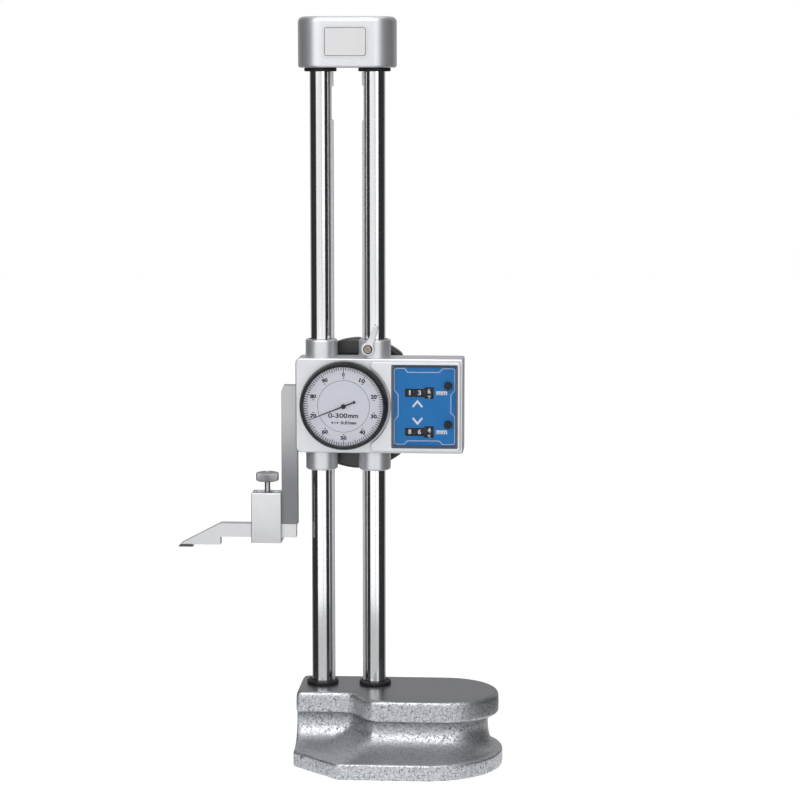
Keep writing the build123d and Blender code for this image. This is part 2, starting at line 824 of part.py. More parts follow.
def counterFrame():
    left, right = frameEnds()
    low = dial_z + window_bottom + pocket_inset
    high = dial_z + window_top - pocket_inset
    guideEnd = window_right - pocket_inset
    frame = box(left - frame_wall, guideEnd, pocket_back - frame_wall, pocket_back, low, high)
    frame += box(left - frame_wall, left, body_front + frame_front_gap, pocket_back, low, high)
    frame += box(right, right + frame_wall, body_front + frame_front_gap, pocket_back, low, high)
    frame += box(right, guideEnd, button_guide_front, button_guide_front + button_guide_thickness, low, high)
    for height in counter_heights.values():
        frame -= rodX(left - frame_wall, right + frame_wall, counter_axis_y, dial_z + height, counter_shaft_radius)
    for height in button_heights.values():
        frame -= rodY(button_x, button_guide_front, pocket_back - frame_wall, dial_z + height,
                      button_stem_radius + running_gap)
    return frame


def counterShaft(name):
    left, right = frameEnds()
    return rodX(left - frame_wall, right + frame_wall, counter_axis_y, dial_z + counter_heights[name],
                counter_shaft_radius)


def resetButton(name):
    z = dial_z + button_heights[name]
    collarFront = body_front + button_collar_gap
    cap = rodY(button_x, button_front, collarFront, z, button_radius)
    cap = fillet(cap.edges().sort_by(Axis.Y)[0], button_round)
    collar = rodY(button_x, collarFront, collarFront + button_collar_thickness, z, button_collar_radius)
    stem = rodY(button_x, collarFront, button_stem_end, z, button_stem_radius)
    return cap + collar + stem


# ---------------------------------------------------------------- lock

def lockLever():
    z = dial_z + lever_height
    back = lever_pad_front - lever_gap
    front = back - lever_thickness
    hub = Circle(lever_hub_radius)
    arm = make_face(Polyline([(-lever_root_half, 0), (-lever_tip_radius, lever_length - lever_tip_radius),
                              (lever_tip_radius, lever_length - lever_tip_radius), (lever_root_half, 0)], close=True))
    sketch = hub + arm + Pos(0, lever_length - lever_tip_radius) * Circle(lever_tip_radius)
    lever = slabXZ(Pos(lever_x, z) * Rot(0, 0, -lever_lean) * sketch, front, back)
    return lever - rodY(lever_x, front, back, z, lock_screw_shank_radius)


def lockScrew():
    z = dial_z + lever_height
    front = lever_pad_front - lever_gap - lever_thickness
    head = rodY(lever_x, front - lock_screw_head_height, front, z, lock_screw_radius)
    head = chamfer(head.edges().sort_by(Axis.Y)[0], lock_screw_bevel)
    slot = Pos(lever_x, front - lock_screw_head_height, z) * Rot(0, lock_screw_slot_turn, 0) * Box(
        2 * (lock_screw_radius + cut_margin), lock_screw_head_height, lock_screw_slot)
    deepest = -sqrt(column_radius ** 2 - (column_x - lever_x - lock_screw_shank_radius) ** 2)
    shank = rodY(lever_x, front, deepest - lock_screw_gap, z, lock_screw_shank_radius)
    return head - slot + shank


# ---------------------------------------------------------------- arm, clamp and scriber

def measuringArm():
    right = body_left
    left = right - arm_width
    top = dial_z + arm_top
    footEnd = clamp_left + foot_of_arm_end
    footTop = scriber_top + foot_of_arm_height
    points = [(right, scriber_top), (right, top), (left + arm_top_bevel_width, top), (left, top - arm_top_bevel),
              (left, footTop), (footEnd, footTop), (footEnd, scriber_top)]
    arm = slabXZ(make_face(Polyline(points, close=True)), -arm_depth / 2, arm_depth / 2)
    for height in arm_screw_heights:
        z = dial_z + height
        arm -= rodX(left, right, 0, z, arm_screw_radius)
        arm -= rodX(left, left + arm_screw_head_height, 0, z, arm_screw_head_radius)
    return arm


def armScrew(height):
    left = body_left - arm_width
    z = dial_z + height
    head = rodX(left, left + arm_screw_head_height, 0, z, arm_screw_head_radius)
    head -= extrude(Plane.YZ.offset(left) * Pos(0, z) * RegularPolygon(arm_screw_socket_radius, 6),
                    arm_screw_socket_depth)
    return head + rodX(left + arm_screw_head_height, left + arm_screw_length, 0, z, arm_screw_radius)


def scriber():
    noseBottom = scriber_bottom - nose_drop
    tipTop = tip_z + tip_thickness
    points = [(scriber_right, scriber_bottom), (scriber_right, scriber_top), (scriber_step_x, scriber_top),
              (scriber_tip_x + tip_slant, tipTop), (scriber_tip_x + tip_length, tipTop),
              (scriber_tip_x + tip_length, noseBottom), (scriber_step_x, noseBottom),
              (scriber_step_x, scriber_bottom)]
    half = scriber_depth / 2
    return slabXZ(make_face(Polyline(points, close=True)), -half, half)


def carbideTip():
    tipTop = tip_z + tip_thickness
    points = [(scriber_tip_x, tip_z), (scriber_tip_x + tip_slant, tipTop), (scriber_tip_x + tip_length, tipTop),
              (scriber_tip_x + tip_length, tip_z)]
    half = scriber_depth / 2
    return slabXZ(make_face(Polyline(points, close=True)), -half, half)


def clampTop():
    return scriber_bottom - clamp_fit - clamp_wall + clamp_height


def scriberClamp():
    right = clamp_left + clamp_width
    half = max(arm_depth, scriber_depth) / 2 + clamp_fit
    low = scriber_bottom - clamp_fit
    body = box(clamp_left, right, -half - clamp_wall, half + clamp_wall, low - clamp_wall, clampTop())
    body = chamfer(body.edges(), clamp_bevel)
    body -= box(clamp_left, right, -half, half, low, clampTop() - clamp_top_wall)
    length, width, depth = clamp_recess
    body -= box(thumb_x - length / 2, thumb_x + length / 2, -width / 2, width / 2, clampTop() - depth, clampTop())
    return body - rodZ(thumb_x, 0, clampTop() - clamp_top_wall, clampTop(), thumb_shank_radius + running_gap)


def thumbScrew():
    headBottom = clampTop() + thumb_shank_visible
    head = rodZ(thumb_x, 0, headBottom, headBottom + thumb_head_height, thumb_head_radius)
    head = chamfer(head.edges().filter_by(GeomType.CIRCLE), thumb_head_bevel)
    shankEnd = scriber_top + foot_of_arm_height + thumb_tip_gap
    return head + rodZ(thumb_x, 0, shankEnd, headBottom, thumb_shank_radius)


save("base_casting", baseCasting())
save("left_column", column(-1))
save("right_column", column(1))
save("left_guide_strip", strip(-1, toothed=False))
save("right_rack", strip(1, toothed=True))
save("lower_bumpers", bumper(-1, base_height), bumper(1, base_height))
save("upper_bumpers", bumper(-1, cap_bottom - bumper_height), bumper(1, cap_bottom - bumper_height))
save("column_bolts", columnBolt(-column_x), columnBolt(column_x))
save("top_cap", topCap())
save("cap_label", capLabel())
save("cap_screws", capScrew(-1), capScrew(1))

save("slider_body", sliderBody())
save("column_bushes", *columnBushes())
save("dial_case", dialCase())
save("case_screws", *[caseScrew(x, z) for x, z in caseScrewPlaces()])
save("rear_cover", rearCover())
save("rear_cover_screws", *[rearScrew(x, z) for x, z in rearScrewPlaces()])
save("front_cover", frontCover())
save("counter_plate", counterPlate())
save("counter_window", counterWindow())
save("counter_frame", counterFrame())
for counterName in counter_heights:
    save(f"{counterName}_counter_shaft", counterShaft(counterName))
    for place, placeName in enumerate(("hundreds", "tens", "units")):
        save(f"{counterName}_counter_{placeName}_wheel", counterWheel(counterName, place))
    save(f"{counterName}_reset_button", resetButton(counterName))

save("dial_bezel", bezel())
save("dial_face", dialFace())
save("retaining_ring", retainingRing())
save("dial_glass", dialGlass())
save("pointer", pointer())
save("pointer_shaft", pointerShaft())

save("feed_shaft", feedShaft())
save("hand_wheel", handWheel())
save("hand_wheel_nut", wheelNut())
save("lock_lever", lockLever())
save("lock_screw", lockScrew())

save("measuring_arm", measuringArm())
save("arm_screws", *[armScrew(height) for height in arm_screw_heights])
save("scriber", scriber())
save("carbide_tip", carbideTip())
save("scriber_clamp", scriberClamp())
save("thumb_screw", thumbScrew())
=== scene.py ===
import json
from math import atan2, cos, pi, radians, sin
import bmesh
import bpy
from mathutils import Matrix, Vector


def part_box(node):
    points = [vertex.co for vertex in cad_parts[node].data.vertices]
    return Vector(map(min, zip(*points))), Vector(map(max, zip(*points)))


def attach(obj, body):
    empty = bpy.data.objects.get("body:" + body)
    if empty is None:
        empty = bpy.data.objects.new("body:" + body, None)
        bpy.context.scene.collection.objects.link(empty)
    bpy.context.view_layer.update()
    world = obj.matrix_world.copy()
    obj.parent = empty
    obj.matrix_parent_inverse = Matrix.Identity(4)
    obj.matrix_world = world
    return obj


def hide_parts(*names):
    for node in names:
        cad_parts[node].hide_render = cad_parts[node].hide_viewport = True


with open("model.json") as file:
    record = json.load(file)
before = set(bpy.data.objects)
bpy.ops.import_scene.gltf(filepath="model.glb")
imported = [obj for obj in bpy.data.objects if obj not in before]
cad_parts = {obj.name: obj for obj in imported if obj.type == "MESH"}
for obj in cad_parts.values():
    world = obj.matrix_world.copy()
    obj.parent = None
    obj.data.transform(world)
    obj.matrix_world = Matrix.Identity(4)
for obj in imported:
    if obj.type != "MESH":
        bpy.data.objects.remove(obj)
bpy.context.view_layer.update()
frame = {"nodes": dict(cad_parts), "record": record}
mm = 0.001
nodes = frame["nodes"]


def boxOf(node):
    low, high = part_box(node)
    return Vector(low), Vector(high)


def middleOf(node):
    low, high = boxOf(node)
    return (low + high) / 2


# The output of a node; sums, differences and products add Math nodes
class Wire:
    def __init__(self, tree, socket):
        self.tree = tree
        self.socket = socket

    def maths(self, operation, other, swapped=False):
        node = self.tree.nodes.new("ShaderNodeMath")
        node.operation = operation
        pair = (other, self) if swapped else (self, other)
        for slot, value in zip(node.inputs, pair):
            plug(self.tree, slot, value)
        return Wire(self.tree, node.outputs[0])

    def __add__(self, other):
        return self.maths("ADD", other)

    def __radd__(self, other):
        return self.maths("ADD", other)

    def __sub__(self, other):
        return self.maths("SUBTRACT", other)

    def __rsub__(self, other):
        return self.maths("SUBTRACT", other, True)

    def __mul__(self, other):
        return self.maths("MULTIPLY", other)

    def __rmul__(self, other):
        return self.maths("MULTIPLY", other)


def plug(tree, slot, value):
    if isinstance(value, Wire):
        tree.links.new(value.socket, slot)
    elif slot.type == "RGBA":
        slot.default_value = (*value, 1.0)
    else:
        slot.default_value = value


# A material with one Principled shader, and the nodes that feed it
class Finish:
    def __init__(self, name, slots):
        self.material = bpy.data.materials.new(name)
        self.material.use_nodes = True
        self.tree = self.material.node_tree
        self.shader = self.tree.nodes["Principled BSDF"]
        for slot, value in slots.items():
            self.set(slot, value)

    def node(self, kind, settings=None, values=None, output=0):
        node = self.tree.nodes.new(kind)
        for key, value in (settings or {}).items():
            setattr(node, key, value)
        for key, value in (values or {}).items():
            plug(self.tree, node.inputs[key], value)
        return Wire(self.tree, node.outputs[output])

    def set(self, slot, value):
        plug(self.tree, self.shader.inputs[slot], value)

    def here(self):
        return self.node("ShaderNodeTexCoord", output="Object")

    def part(self, vector, axis):
        return self.node("ShaderNodeSeparateXYZ", None, {"Vector": vector}, output=axis)

    # a stretch under 1 draws the pattern out along that axis
    def noise(self, scale, detail=3.0, stretch=(1, 1, 1)):
        place = self.node("ShaderNodeMapping", None, {"Vector": self.here(), "Scale": stretch})
        return self.node("ShaderNodeTexNoise", None, {"Vector": place, "Scale": scale, "Detail": detail})

    def mixed(self, share, first, second):
        return self.node("ShaderNodeMix", {"data_type": "RGBA"}, {0: share, 6: first, 7: second}, output=2)

    def ramp(self, value, low, high, fromValue=0.0, toValue=1.0):
        return self.node("ShaderNodeMapRange", {"interpolation_type": "SMOOTHSTEP"},
                         {"Value": value, "From Min": low, "From Max": high,
                          "To Min": fromValue, "To Max": toValue})

    def bump(self, height, strength, distance):
        self.set("Normal", self.node("ShaderNodeBump", None,
                                     {"Height": height, "Strength": strength, "Distance": distance}))


# Hammered paint: pale cells between dark veins, painted fainter where faces look up; a smoother top whose
# darker colour is partly painted shade; painted shade under the upper flange.
# Pairs say where a fade starts and ends.
hammer = {"silver": (0.46, 0.475, 0.50), "pale": (0.60, 0.615, 0.64), "vein": (0.045, 0.05, 0.06),
          "top": (0.30, 0.305, 0.32), "metal": 0.85, "rough": 0.41, "veinRough": 0.2, "topSmooth": 0.11,
          "cell": 2.3 * mm, "driftScale": 0.7, "driftReach": 1.3, "brokenScale": 1.1, "broken": (0.40, 0.50),
          "mottleScale": 1.2, "mottle": (0.35, 0.65), "veinWidth": 0.085, "veinDepth": 0.8,
          "level": (0.55, 0.95), "levelFade": 0.7, "topFacing": (0.6, 0.9), "topStart": 1.6 * mm,
          "topEnd": 0.5 * mm, "flangeThick": 14 * mm, "shadeReach": 9 * mm, "shadeStop": 0.5 * mm,
          "shadeEdge": 1 * mm, "shadeDepth": 0.6, "grain": 0.35 * mm, "mottleRise": 1.2, "grainRise": 0.1,
          "bump": 0.4, "dent": 0.2 * mm}


def hammertone():
    finish = Finish("hammertone", {"Metallic": hammer["metal"], "Roughness": 0.36})
    cell = hammer["cell"]
    here = finish.here()
    drift = finish.node("ShaderNodeTexNoise", None,
                        {"Vector": here, "Scale": hammer["driftScale"] / cell, "Detail": 2.0}, output="Color")
    bent = finish.node("ShaderNodeVectorMath", {"operation": "MULTIPLY_ADD"},
                       {0: drift, 1: (cell * hammer["driftReach"],) * 3, 2: here})
    edge = finish.node("ShaderNodeTexVoronoi", {"feature": "DISTANCE_TO_EDGE"},
                       {"Vector": bent, "Scale": 1 / cell})
    broken = finish.noise(hammer["brokenScale"] / cell, 2.0)
    facing = finish.part(finish.node("ShaderNodeNewGeometry", output="Normal"), "Z")
    level = finish.ramp(facing, *hammer["level"])
    height = finish.part(here, "Z")
    flange = boxOf("base_casting")[1].z
    # partly painted shade: the top faces have a smoother finish of their own, and their darker colour also
    # stands for shade on faces that look up
    top = finish.ramp(height, flange - hammer["topStart"], flange - hammer["topEnd"])
    top = top * finish.ramp(facing, *hammer["topFacing"])
    vein = finish.ramp(edge, 0.0, hammer["veinWidth"], 1.0, 0.0) * finish.ramp(broken, *hammer["broken"])
    # painted light: the veins fade where faces look up, as the light falling there shows them less
    vein = vein * (1 - level * hammer["levelFade"])
    mottle = finish.noise(hammer["mottleScale"] / cell)
    sides = finish.mixed(finish.ramp(mottle, *hammer["mottle"]), hammer["silver"], hammer["pale"])
    sides = finish.mixed(vein * hammer["veinDepth"], sides, hammer["vein"])
    under = flange - hammer["flangeThick"]
    shade = finish.ramp(height, under - hammer["shadeReach"], under - hammer["shadeStop"])
    shade = shade * finish.ramp(height, under, under + hammer["shadeEdge"], 1.0, 0.0)
    sides = finish.mixed(shade * hammer["shadeDepth"], sides, hammer["vein"])
    finish.set("Base Color", finish.mixed(top, sides, hammer["top"]))
    finish.set("Roughness", hammer["rough"] + vein * hammer["veinRough"] - top * hammer["topSmooth"])
    grain = finish.noise(1 / hammer["grain"], 2.0)
    relief = (1 - vein) * (1 - top) + mottle * (1 - top) * hammer["mottleRise"] + grain * hammer["grainRise"]
    finish.bump(relief, hammer["bump"], hammer["dent"])
    return finish.material


paint = {"colour": (0.69, 0.70, 0.73), "shade": (0.615, 0.63, 0.66), "metal": 0.72, "rough": 0.33,
         "roughSpread": 0.12, "cloud": 14 * mm, "grain": 0.30 * mm, "bump": 0.25, "depth": 0.02 * mm}


def castPaint():
    finish = Finish("castPaint", {"Metallic": paint["metal"], "Roughness": 0.38})
    cloud = finish.noise(1 / paint["cloud"])
    grain = finish.noise(1 / paint["grain"], 2.0)
    finish.set("Base Color", finish.mixed(cloud, paint["shade"], paint["colour"]))
    finish.set("Roughness", paint["rough"] + grain * paint["roughSpread"])
    finish.bump(grain, paint["bump"], paint["depth"])
    return finish.material


chrome = {"colour": (0.80, 0.81, 0.83), "dark": (0.76, 0.77, 0.79), "rough": 0.07, "lineRough": 0.06,
          "smearRough": 0.03, "line": 0.22 * mm, "round": (0.02, 0.02, 1), "smear": 9 * mm, "bump": 0.15,
          "depth": 0.004 * mm}


def chromed():
    finish = Finish("chromed", {"Metallic": 1.0, "Roughness": 0.1})
    lines = finish.noise(1 / chrome["line"], 2.0, chrome["round"])
    smear = finish.noise(1 / chrome["smear"])
    finish.set("Base Color", finish.mixed(smear, chrome["dark"], chrome["colour"]))
    finish.set("Roughness", chrome["rough"] + lines * chrome["lineRough"] + smear * chrome["smearRough"])
    finish.bump(lines, chrome["bump"], chrome["depth"])
    return finish.material


ground = {"line": 0.10 * mm, "detail": 4.0, "cloud": 6 * mm, "lineShare": 0.6, "cloudShare": 0.4,
          "smooth": 0.06, "lineRough": 0.14, "bump": 0.25, "depth": 0.006 * mm}


# Steel with the fine lines of grinding
def groundSteel(name, colour, dark, roughness, stretch):
    finish = Finish(name, {"Metallic": 1.0, "Roughness": roughness})
    lines = finish.noise(1 / ground["line"], ground["detail"], stretch)
    cloud = finish.noise(1 / ground["cloud"])
    share = lines * ground["lineShare"] + cloud * ground["cloudShare"]
    finish.set("Base Color", finish.mixed(share, dark, colour))
    finish.set("Roughness", roughness - ground["smooth"] + lines * ground["lineRough"])
    finish.bump(lines, ground["bump"], ground["depth"])
    return finish.material


# Ground steel with painted shade: darker towards its lower end, paler towards its top end; low and high are
# shares of its height
arm = {"pale": (0.46, 0.465, 0.475), "dark": (0.15, 0.157, 0.17), "low": 0.25, "high": 0.85, "rough": 0.34,
       "fadeShare": 0.8, "lineShare": 0.3, "along": (1, 1, 0.02)}


def armSteel():
    finish = Finish("armSteel", {"Metallic": 1.0, "Roughness": 0.4})
    lines = finish.noise(1 / ground["line"], ground["detail"], arm["along"])
    low, high = boxOf("measuring_arm")
    height = finish.part(finish.here(), "Z")
    span = high.z - low.z
    # painted shade: the arm is darker low down and paler high up
    paler = finish.ramp(height, low.z + span * arm["low"], low.z + span * arm["high"])
    share = paler * arm["fadeShare"] + lines * arm["lineShare"]
    finish.set("Base Color", finish.mixed(share, arm["dark"], arm["pale"]))
    finish.set("Roughness", arm["rough"] + lines * ground["lineRough"])
    finish.bump(lines, ground["bump"], ground["depth"])
    return finish.material


# Polished lever with a painted shadow: a dark ring round its screw, where the gap between them lies in shade
lever = {"colour": (0.70, 0.705, 0.72), "dark": (0.50, 0.505, 0.52), "groove": (0.03, 0.03, 0.03),
         "grooveWidth": 0.45 * mm, "grooveFade": 0.12 * mm, "rough": 0.26, "lineRough": 0.1, "grooveRough": 0.3,
         "line": 0.12 * mm, "bump": 0.2, "depth": 0.004 * mm}


def leverSteel():
    finish = Finish("leverSteel", {"Metallic": 1.0, "Roughness": 0.3})
    lines = finish.noise(1 / lever["line"])
    low, high = boxOf("lock_screw")
    fromScrew = finish.node("ShaderNodeVectorMath", {"operation": "SUBTRACT"},
                            {0: finish.here(), 1: tuple((low + high) / 2)})
    flat = finish.node("ShaderNodeVectorMath", {"operation": "MULTIPLY"}, {0: fromScrew, 1: (1, 0, 1)})
    away = finish.node("ShaderNodeVectorMath", {"operation": "LENGTH"}, {0: flat}, output="Value")
    edge = (high.x - low.x) / 2 + lever["grooveWidth"]
    # painted shadow: a near-black ring on the lever, just outside the screw's edge
    groove = finish.ramp(away, edge - lever["grooveFade"], edge + lever["grooveFade"], 1.0, 0.0)
    polished = finish.mixed(lines, lever["dark"], lever["colour"])
    finish.set("Base Color", finish.mixed(groove, polished, lever["groove"]))
    finish.set("Roughness", lever["rough"] + lines * lever["lineRough"] + groove * lever["grooveRough"])
    finish.bump(lines, lever["bump"], lever["depth"])
    return finish.material


# Turned brass whose screw slot is painted dark as shade
screw = {"bright": (0.38, 0.33, 0.27), "dark": (0.20, 0.17, 0.14), "slotShade": (0.02, 0.018, 0.015),
         "slotDepth": 0.45 * mm, "slotFade": 1.5, "rough": 0.3, "lineRough": 0.12, "slotShadeRough": 0.4,
         "line": 0.12 * mm, "detail": 4.0, "bump": 0.2, "depth": 0.006 * mm}


def turnedBrass():
    finish = Finish("brass", {"Metallic": 1.0, "Roughness": 0.34})
    lines = finish.noise(1 / screw["line"], screw["detail"])
    depth = finish.part(finish.here(), "Y")
    front = boxOf("lock_screw")[0].y
    # painted shade: the slot floor, set back from the head's face, is darkened
    slot = finish.ramp(depth, front + screw["slotDepth"], front + screw["slotDepth"] * screw["slotFade"])
    metal = finish.mixed(lines, screw["dark"], screw["bright"])
    finish.set("Base Color", finish.mixed(slot, metal, screw["slotShade"]))
    finish.set("Roughness", screw["rough"] + lines * screw["lineRough"] + slot * screw["slotShadeRough"])
    finish.bump(lines, screw["bump"], screw["depth"])
    return finish.material


mould = {"cloud": 5 * mm, "lighten": 1.5, "lift": 0.004, "smooth": 0.05, "roughSpread": 0.12, "bump": 0.2}


def moulded(name, colour, roughness, grain=0.25 * mm, depth=0.02 * mm, specular=0.25):
    finish = Finish(name, {"Roughness": roughness, "Specular IOR Level": specular})
    speck = finish.noise(1 / grain, 2.0)
    lighter = tuple(share * mould["lighten"] + mould["lift"] for share in colour)
    finish.set("Base Color", finish.mixed(finish.noise(1 / mould["cloud"]), colour, lighter))
    finish.set("Roughness", roughness - mould["smooth"] + speck * mould["roughSpread"])
    finish.bump(speck, mould["bump"], depth)
    return finish.material


printing = {"cloud": 4 * mm, "darken": 0.94, "smooth": 0.04, "roughSpread": 0.08}


def printed(name, colour, roughness, metallic=0.0, specular=0.12):
    finish = Finish(name, {"Metallic": metallic, "Roughness": roughness, "Specular IOR Level": specular})
    cloud = finish.noise(1 / printing["cloud"])
    darker = tuple(share * printing["darken"] for share in colour)
    finish.set("Base Color", finish.mixed(cloud, darker, colour))
    finish.set("Roughness", roughness - printing["smooth"] + cloud * printing["roughSpread"])
    return finish.material


clear = {"colour": (0.25, 0.26, 0.28), "alpha": 0.05, "rough": 0.04, "smear": 12 * mm, "smearRough": 0.03}


def clearPane():
    finish = Finish("clear", {"Base Color": clear["colour"], "Roughness": clear["rough"],
                              "Alpha": clear["alpha"]})
    finish.set("Roughness", clear["rough"] + finish.noise(1 / clear["smear"]) * clear["smearRough"])
    return finish.material


finishes = {
    "hammertone": hammertone(),
    "castPaint": castPaint(),
    "chromed": chromed(),
    "steel": groundSteel("steel", (0.50, 0.50, 0.51), (0.36, 0.36, 0.37), 0.34, (1, 1, 0.03)),
    "armSteel": armSteel(),
    "groundWhite": groundSteel("groundWhite", (0.70, 0.705, 0.72), (0.58, 0.585, 0.60), 0.40, (0.03, 1, 1)),
    "carbide": groundSteel("carbide", (0.13, 0.13, 0.12), (0.07, 0.07, 0.065), 0.32, (1, 1, 1)),
    "leverSteel": leverSteel(),
    "brass": turnedBrass(),
    "rubber": moulded("rubber", (0.010, 0.010, 0.011), 0.55),
    "blackPlastic": moulded("blackPlastic", (0.008, 0.008, 0.009), 0.36),
    "wheelGloss": moulded("wheelGloss", (0.010, 0.010, 0.011), 0.27, 0.6 * mm, 0.05 * mm, 0.6),
    "digitWheel": moulded("digitWheel", (0.006, 0.006, 0.007), 0.5, specular=0.15),
    "bluePlate": printed("bluePlate", (0.010, 0.22, 0.62), 0.45, specular=0.03),
    "dialWhite": printed("dialWhite", (0.72, 0.74, 0.82), 0.32, 0.25),
    "labelPlate": printed("labelPlate", (0.78, 0.78, 0.79), 0.3, 0.3),
    "black": printed("black", (0.012, 0.012, 0.013), 0.35),
    "ink": printed("ink", (0.008, 0.008, 0.011), 0.5, specular=0.04),
    "whitePrint": printed("whitePrint", (0.88, 0.90, 0.93), 0.45),
    "blackChrome": printed("blackChrome", (0.085, 0.095, 0.125), 0.2, 1.0),
    "clear": clearPane(),
}

slotOf = {row["node"]: row["material_slot"] for row in frame["record"]["subparts"]}
finishOf = {**slotOf, "measuring_arm": "armSteel", "lock_lever": "leverSteel", "hand_wheel": "wheelGloss"}
for name, thing in nodes.items():
    for slot in thing.material_slots:
        slot.material = finishes[finishOf[name]]
print("finishes on", len(nodes), "CAD nodes")


# How near points lie that are joined, and how near a plane they lie to be on it
closeness = {"fine": 0.0005 * mm, "node": 0.001 * mm, "bevel": 0.002 * mm, "plane": 0.01 * mm}


def addObject(name, data):
    thing = bpy.data.objects.new(name, data)
    bpy.context.scene.collection.objects.link(thing)
    return thing


def meshData(name, mesh):
    data = bpy.data.meshes.new(name)
    mesh.to_mesh(data)
    mesh.free()
    return data


def makePiece(name, mesh, finish, body, sharpAngle=35):
    bmesh.ops.recalc_face_normals(mesh, faces=mesh.faces)
    data = meshData(name, mesh)
    data.materials.append(finishes[finish])
    data.polygons.foreach_set("use_smooth", [True] * len(data.polygons))
    data.set_sharp_from_angle(angle=radians(sharpAngle))
    thing = addObject(name, data)
    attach(thing, body)
    return thing


# A CAD node's mesh, its loose triangles joined
def nodeMesh(node, gap):
    mesh = bmesh.new()
    mesh.from_mesh(nodes[node].data)
    bmesh.ops.remove_doubles(mesh, verts=mesh.verts, dist=gap)
    return mesh


# Spins a line of points (radius, height) about Z, all the way round unless told otherwise
def spun(points, steps, closed=False, start=0.0, angle=2 * pi):
    mesh = bmesh.new()
    chain = [mesh.verts.new((radius * cos(start), radius * sin(start), height)) for radius, height in points]
    following = chain[1:] + chain[:1] if closed else chain[1:]
    edges = [mesh.edges.new(pair) for pair in zip(chain, following)]
    bmesh.ops.spin(mesh, geom=chain + edges, cent=(0, 0, 0), axis=(0, 0, 1), dvec=(0, 0, 0), angle=angle,
                   steps=steps, use_merge=angle == 2 * pi, use_duplicate=False)
    return mesh


# Presses V notches into everything of a turned mesh that lies outside a radius
def knurl(mesh, beyond, sizes):
    for vert in mesh.verts:
        radius = vert.co.xy.length
        if radius > beyond:
            phase = (atan2(vert.co.y, vert.co.x) / (2 * pi) * sizes["notches"]) % 1
            depth = sizes["depth"] * max(0, 1 - min(phase, 1 - phase) / sizes["notchShare"])
            vert.co.xy *= (radius - depth) / radius


# Turns a piece built about +Z so that its top faces the front, centred at a point
def faceFront(mesh, centre):
    bmesh.ops.rotate(mesh, verts=mesh.verts, cent=(0, 0, 0), matrix=Matrix.Rotation(radians(90), 3, "X"))
    bmesh.ops.translate(mesh, verts=mesh.verts, vec=centre)


# Pulls flat faces into a slab, towards the back
def thicken(mesh, faces, thickness):
    made = bmesh.ops.extrude_face_region(mesh, geom=faces)
    raised = [v for v in made["geom"] if isinstance(v, bmesh.types.BMVert)]
    bmesh.ops.translate(mesh, verts=raised, vec=(0, thickness, 0))


# A thin bar in X and Z, turned clockwise as seen from the front
def addBar(mesh, centre, size, turn=0.0):
    place = Matrix.Translation(centre) @ Matrix.Rotation(turn, 4, "Y")
    bmesh.ops.create_cube(mesh, size=1.0, matrix=place @ Matrix.Diagonal((*size, 1)))


drawing = {"letterSize": 1.4, "letterSteps": 4, "mitre": 0.3}  # the mitre keeps sharp corners short


# Flat letters, fitted to a height and a width; turned clockwise as seen from the front
def addText(mesh, words, height, width, centre, bold, thickness, turn=0.0):
    curve = bpy.data.curves.new("words", "FONT")
    curve.body = words
    curve.size = height * drawing["letterSize"]
    curve.resolution_u = drawing["letterSteps"]
    curve.offset = bold
    curve.extrude = thickness / 2
    holder = addObject("words", curve)
    bpy.context.view_layer.update()
    data = bpy.data.meshes.new_from_object(holder.evaluated_get(bpy.context.evaluated_depsgraph_get()))
    places = [[v.co[axis] for v in data.vertices] for axis in (0, 1)]
    spans = [(min(along), max(along)) for along in places]
    grow = [wanted / (high - low) for wanted, (low, high) in zip((width, height), spans)]
    middle = Vector([-(low + high) / 2 for low, high in spans] + [0])
    fitted = Matrix.Diagonal((*grow, 1, 1)) @ Matrix.Translation(middle)
    upright = Matrix.Rotation(radians(90), 4, "X") @ fitted
    data.transform(Matrix.Translation(centre) @ Matrix.Rotation(turn, 4, "Y") @ upright)
    mesh.from_mesh(data)
    bpy.data.objects.remove(holder)
    bpy.data.curves.remove(curve)
    bpy.data.meshes.remove(data)


# A printed line along points in X and Z, with mitred corners
def addStroke(mesh, points, width, front, thickness, closed=False):
    count = len(points)
    sides = []
    for i, point in enumerate(points):
        here = Vector(point)
        before = Vector(points[i - 1]) if closed or i > 0 else None
        after = Vector(points[(i + 1) % count]) if closed or i < count - 1 else None
        first = (here - before).normalized() if before is not None else (after - here).normalized()
        second = (after - here).normalized() if after is not None else first
        across = Vector((-first.y - second.y, first.x + second.x)).normalized()
        reach = width / 2 / max(drawing["mitre"], across.dot(Vector((-first.y, first.x))))
        pair = (here + across * reach, here - across * reach)
        sides.append([mesh.verts.new((p.x, front, p.y)) for p in pair])
    faces = []
    for i in range(count if closed else count - 1):
        a, b = sides[i], sides[(i + 1) % count]
        faces.append(mesh.faces.new((a[0], a[1], b[1], b[0])))
    thicken(mesh, faces, thickness)


cast = {"voxel": 0.9 * mm, "rounds": 5, "flangeRounds": 10, "softness": 0.5, "sharp": 60}


